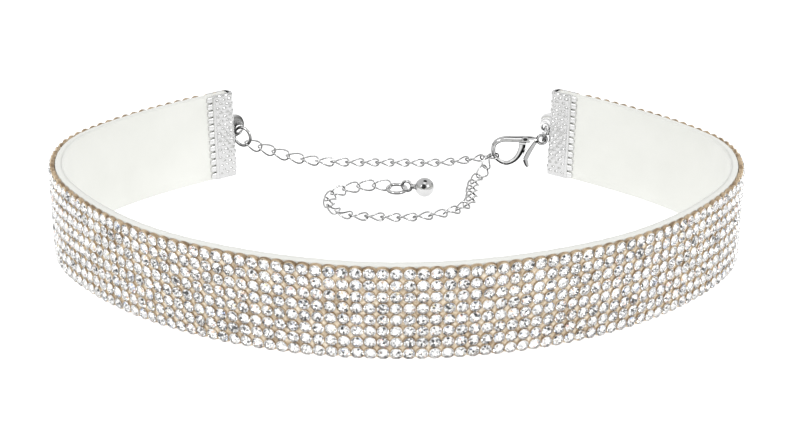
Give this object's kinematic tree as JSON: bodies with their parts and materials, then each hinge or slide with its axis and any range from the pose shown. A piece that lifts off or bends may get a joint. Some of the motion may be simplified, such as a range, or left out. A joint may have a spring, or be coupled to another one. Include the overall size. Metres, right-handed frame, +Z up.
{
  "type": "choker necklace",
  "caption": "Choker: a stone-set ribbon on a soft lining, ribbon crimps at its ends, a curb chain with a lobster clasp and a loose tail with a ball.",
  "frame": {"origin": "on the ground, below the middle of the outline", "axes": "+X to the right seen from the front, -Y towards the front of the neck, +Z up"},
  "size_m": [0.1406, 0.1044, 0.0198],
  "materials": {
    "suede": "soft off-white faux suede, matt",
    "stones": "clear faceted stones on a taupe mesh",
    "steel": "bright polished plating"
  },
  "bodies": {
    "choker": {"suede_band": "suede", "stone_mesh": "stones", "ribbon_crimp_left": "steel", "ribbon_crimp_right": "steel", "jump_ring_left": "steel", "chain_link_01": "steel", "chain_link_02": "steel", "chain_link_03": "steel", "chain_link_04": "steel", "chain_link_05": "steel", "chain_link_06": "steel", "chain_link_07": "steel", "chain_link_08": "steel", "chain_link_09": "steel", "chain_link_10": "steel", "chain_link_11": "steel", "chain_link_12": "steel", "chain_link_13": "steel", "chain_link_14": "steel", "chain_link_15": "steel", "chain_link_16": "steel", "chain_link_17": "steel", "jump_ring_right": "steel", "clasp_body": "steel", "tail_link_01": "steel", "tail_link_02": "steel", "tail_link_03": "steel", "tail_link_04": "steel", "tail_link_05": "steel", "tail_link_06": "steel", "tail_link_07": "steel", "tail_link_08": "steel", "tail_link_09": "steel", "tail_link_10": "steel", "tail_link_11": "steel", "tail_link_12": "steel", "tail_link_13": "steel", "tail_link_14": "steel", "tail_link_15": "steel", "tail_link_16": "steel", "tail_link_17": "steel", "tail_link_18": "steel", "tail_link_19": "steel", "tail_link_20": "steel", "tail_link_21": "steel", "tail_link_22": "steel", "tail_link_23": "steel", "jump_ring_tail": "steel", "end_ball": "steel"},
    "lever": {"clasp_lever": "steel"}
  },
  "joints": [
    {"name": "clasp_lever_hinge", "type": "hinge", "parent": "choker", "child": "lever", "pos_m": [0.02841, 0.04927, 0.00519], "axis": [0, 1, 0], "range_deg": [0, 14], "stiffness_Nm_per_rad": 0.01, "springref_deg": -5.73}
  ]
}
